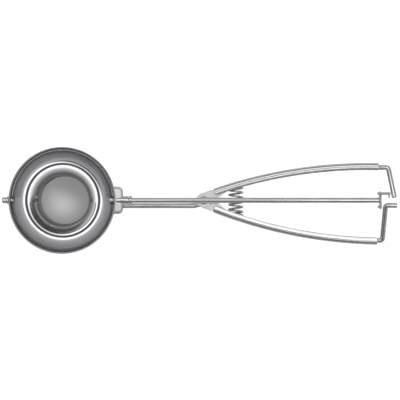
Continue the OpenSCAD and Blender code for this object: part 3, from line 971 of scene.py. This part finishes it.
class SCOOP_OT_spring(bpy.types.Operator):
    """Coil spring whose end turns lie close."""
    bl_idname = "scoop.spring"
    bl_label = "Spring"

    def execute(self, context):
        sizes = context.scene.scoop_spring
        low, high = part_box("spring")
        middle = 0.5 * (low + high)
        wire = 0.5 * sizes.wire
        coil = 0.5 * (high.x - low.x) - wire
        start, stop = low.y + wire, high.y - wire
        closed = 0.75
        shut = closed / sizes.turns
        lift = closed * (sizes.wire + 0.5 * MM)
        steps = int(sizes.turns * 40)
        path = []
        for k in range(steps + 1):
            share = k / steps
            if share < shut:
                y = start + lift * share / shut
            elif share > 1 - shut:
                y = stop - lift * (1 - share) / shut
            else:
                y = start + lift + (stop - start - 2 * lift) * (share - shut) / (1 - 2 * shut)
            turn = 2 * math.pi * sizes.turns * share
            path.append(Vector((middle.x + coil * math.cos(turn), y, middle.z + coil * math.sin(turn))))
        bm = bmesh.new()
        tube(bm, path, [wire] * len(path), sides=16)
        piece = finish_mesh("return_spring", bm)
        fit(piece, finish("wire"), "frame", "spring_steel", "spring")
        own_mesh(piece)
        return {"FINISHED"}


# ---- stage ----

def ramp(tree, stops, label):
    """A grey ramp with stops of (place, brightness)."""
    node = add(tree, "ShaderNodeValToRGB", label)
    band = node.color_ramp
    band.elements[0].position = stops[0][0]
    band.elements[1].position = stops[-1][0]
    for at, level in stops[1:-1]:
        band.elements.new(at)
    for element, (at, level) in zip(band.elements, stops):
        element.color = (level, level, level, 1.0)
    return node


# Brightness of the studio at each height, from 0 at the horizon to 1 straight above
FLAG_SIDE = ((0.0, 0.22), (0.3, 0.12), (0.58, 0.06), (0.62, 0.6), (0.7, 0.6), (0.74, 0.06),
             (0.95, 0.07), (0.982, 0.45), (0.992, 0.06))
LIGHT_SIDE = ((0.0, 0.38), (0.45, 0.36), (0.55, 0.14), (0.68, 0.22), (0.82, 0.45), (0.9, 0.8),
              (0.94, 1.3), (0.985, 1.7), (0.993, 0.1))
TOWARDS_LIGHT = (0.42, 0.9, 0.0)


def studio_world():
    """Soft studio: a wide light on one side, a dark flag with a strip light on the other, dark on top."""
    world = bpy.data.worlds.new("studio")
    world.use_nodes = True
    tree = world.node_tree
    place = add(tree, "ShaderNodeTexCoord")
    split = add(tree, "ShaderNodeSeparateXYZ")
    dark = ramp(tree, FLAG_SIDE, "side with the dark flag and a strip light")
    lit = ramp(tree, LIGHT_SIDE, "side with the wide light")
    side = add(tree, "ShaderNodeVectorMath", "towards the wide light", operation="DOT_PRODUCT")
    side.inputs[1].default_value = TOWARDS_LIGHT
    share = add(tree, "ShaderNodeMapRange", interpolation_type="SMOOTHSTEP")
    put(share, From_Min=-0.3, From_Max=-0.08)
    both = add(tree, "ShaderNodeMix", data_type="RGBA")
    back = tree.nodes["Background"]
    link = tree.links.new
    link(place.outputs["Generated"], split.inputs[0])
    link(split.outputs["Z"], dark.inputs[0])
    link(split.outputs["Z"], lit.inputs[0])
    link(place.outputs["Generated"], side.inputs[0])
    link(side.outputs["Value"], share.inputs["Value"])
    link(share.outputs[0], both.inputs["Factor"])
    link(dark.outputs[0], both.inputs["A"])
    link(lit.outputs[0], both.inputs["B"])
    link(both.outputs["Result"], back.inputs["Color"])
    return world


def floor_material(colour):
    """Pale floor that keeps the object's shadow and shows white to the eye and in the steel."""
    roughness = 0.9
    glow_in_steel = 0.12
    glow_to_camera = 0.8
    material = bpy.data.materials.new("pale_floor")
    material.use_nodes = True
    tree = material.node_tree
    surface = tree.nodes["Principled BSDF"]
    put(surface, Roughness=roughness, Specular_IOR_Level=0.0)
    put(surface, Base_Color=dimmed(colour), Emission_Color=(1.0, 1.0, 1.0, 1.0))
    path = add(tree, "ShaderNodeLightPath")
    mirrored = add(tree, "ShaderNodeMath", "seen in the steel", operation="MAXIMUM")
    share = add(tree, "ShaderNodeMath", operation="MULTIPLY")
    share.inputs[1].default_value = glow_in_steel
    strength = add(tree, "ShaderNodeMath", operation="MULTIPLY_ADD")
    strength.inputs[1].default_value = glow_to_camera
    link = tree.links.new
    link(path.outputs["Is Glossy Ray"], mirrored.inputs[0])
    link(path.outputs["Is Transmission Ray"], mirrored.inputs[1])
    link(mirrored.outputs[0], share.inputs[0])
    link(path.outputs["Is Camera Ray"], strength.inputs[0])
    link(share.outputs[0], strength.inputs[2])
    link(strength.outputs[0], surface.inputs["Emission Strength"])
    return material


class SCOOP_OT_stage(bpy.types.Operator):
    """Pale floor, soft studio light and the camera straight above."""
    bl_idname = "scoop.stage"
    bl_label = "Stage"

    def execute(self, context):
        scene = context.scene
        settings = scene.scoop_stage
        self.floor(settings)
        scene.world = studio_world()
        self.lamp(scene)
        self.camera(scene, settings)
        scene.view_settings.view_transform = "Standard"
        return {"FINISHED"}

    def floor(self, settings):
        """Wide square floor just under the scoop."""
        half = 6.0
        gap = 0.05 * MM
        level = CAD_BOX[0][2] - gap
        bm = bmesh.new()
        bm.faces.new([bm.verts.new((x * half, y * half, level))
                      for x, y in ((-1, -1), (1, -1), (1, 1), (-1, 1))])
        floor = finish_mesh("floor", bm)
        floor.data.materials.append(floor_material(settings.floor))

    def lamp(self, scene):
        """Wide soft lamp above one side, which the steel doesn't mirror."""
        lamp = bpy.data.lights.new("soft_key", "AREA")
        lamp.shape = "DISK"
        lamp.size = 1.5
        lamp.energy = 4.0
        key = bpy.data.objects.new("soft_key", lamp)
        key.location = (0.5, 0.9, 1.5)
        scoop_at = Vector((0.08, 0, 0))
        key.rotation_euler = (scoop_at - key.location).to_track_quat("-Z", "Y").to_euler()
        key.visible_glossy = False
        scene.collection.objects.link(key)

    def camera(self, scene, settings):
        """Camera straight above, placed so that the bowl falls where the picture has it."""
        sensor = 36.0
        middle = 0.5 * settings.picture
        camera = bpy.data.objects.new("camera", bpy.data.cameras.new("camera"))
        camera.location = (
            (middle - settings.bowl_px_x) * settings.pixel,
            (settings.bowl_px_y - middle) * settings.pixel,
            settings.camera_height)
        camera.data.sensor_width = sensor
        camera.data.lens = sensor * settings.camera_height / (settings.picture * settings.pixel)
        camera.data.clip_start = 0.01
        scene.collection.objects.link(camera)
        scene.camera = camera


class SCOOP_PT_panel(bpy.types.Panel):
    """Lists the scoop's pieces and their sizes."""
    bl_idname = "SCOOP_PT_panel"
    bl_label = "Ice cream scoop"
    bl_space_type = "VIEW_3D"
    bl_region_type = "UI"
    bl_category = "Scoop"

    def draw(self, context):
        for name in GROUPS:
            group = getattr(context.scene, name)
            box = self.layout.box()
            box.label(text=type(group).__name__)
            for field in group.__annotations__:
                box.prop(group, field)
        for operator in PIECES:
            self.layout.operator(operator.bl_idname)


GROUPS = {
    "scoop_bowl": BowlSizes,
    "scoop_blade": BladeSizes,
    "scoop_neck": NeckSizes,
    "scoop_rivet": RivetSizes,
    "scoop_grips": GripSizes,
    "scoop_rods": RodSizes,
    "scoop_spring": SpringSizes,
    "scoop_steel": SteelLook,
    "scoop_stage": StageSettings,
}
PIECES = (SCOOP_OT_stage, SCOOP_OT_bowl, SCOOP_OT_blade, SCOOP_OT_neck, SCOOP_OT_shaft,
          SCOOP_OT_rivet, SCOOP_OT_grips, SCOOP_OT_links, SCOOP_OT_spring)
CLASSES = tuple(GROUPS.values()) + PIECES + (SCOOP_PT_panel,)


def register():
    for cls in CLASSES:
        bpy.utils.register_class(cls)
    for name, cls in GROUPS.items():
        setattr(bpy.types.Scene, name, PointerProperty(type=cls))


def unregister():
    for name in GROUPS:
        delattr(bpy.types.Scene, name)
    for cls in reversed(CLASSES):
        bpy.utils.unregister_class(cls)


def main():
    register()
    bpy.ops.scoop.stage()
    bpy.ops.scoop.bowl()
    bpy.ops.scoop.blade()
    bpy.ops.scoop.neck()
    bpy.ops.scoop.shaft()
    bpy.ops.scoop.rivet()
    bpy.ops.scoop.grips()
    bpy.ops.scoop.links()
    bpy.ops.scoop.spring()


if __name__ == "__main__":
    main()
